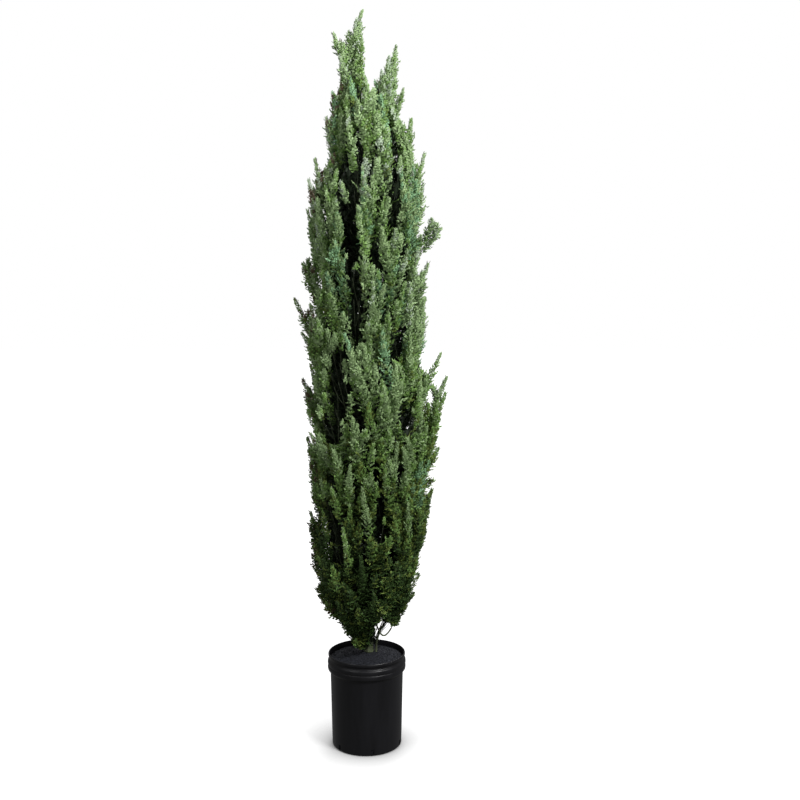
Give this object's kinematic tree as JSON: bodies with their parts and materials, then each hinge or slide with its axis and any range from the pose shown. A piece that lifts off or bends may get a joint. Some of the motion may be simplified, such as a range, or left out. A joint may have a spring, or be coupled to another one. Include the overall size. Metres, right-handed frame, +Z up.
{
  "type": "artificial italian cypress tree",
  "caption": "Tall narrow artificial cypress with two leaders: upright feathery plumes of foliage from the soil to the tip, in a round black pot with a beaded rim.",
  "frame": {"origin": "centre of the pot's flat underside", "axes": "+Z up along the tree, +X to the viewer's right in the picture, -Y towards the viewer"},
  "size_m": [0.5073, 0.4299, 2.44],
  "materials": {
    "pot": "satin black blow-moulded plastic",
    "potting_fill": "dark fine lumps, matt",
    "bark": "matt green-brown with fine relief",
    "foliage": "matt green, fine scale leaves"
  },
  "bodies": {
    "root": {"foliage_01": "foliage", "foliage_02": "foliage", "foliage_03": "foliage", "foliage_04": "foliage", "foliage_05": "foliage", "foliage_06": "foliage", "foliage_07": "foliage", "foliage_08": "foliage", "foliage_09": "foliage", "foliage_10": "foliage", "foliage_11": "foliage", "foliage_12": "foliage", "foliage_13": "foliage", "foliage_14": "foliage", "foliage_15": "foliage", "foliage_16": "foliage", "foliage_17": "foliage", "foliage_18": "foliage", "foliage_19": "foliage", "foliage_20": "foliage", "foliage_21": "foliage", "foliage_22": "foliage", "foliage_23": "foliage", "foliage_24": "foliage", "foliage_25": "foliage", "foliage_26": "foliage", "foliage_27": "foliage", "foliage_28": "foliage", "foliage_29": "foliage", "foliage_30": "foliage", "foliage_31": "foliage", "foliage_32": "foliage", "foliage_33": "foliage", "foliage_34": "foliage", "foot_tuft": "foliage", "leader_plumes": "foliage", "low_twig": "bark", "low_twig_tuft": "foliage", "pot": "pot", "potting_fill": "potting_fill", "second_leader_plumes": "foliage", "side_stem": "bark", "trunk": "bark"}
  },
  "joints": []
}
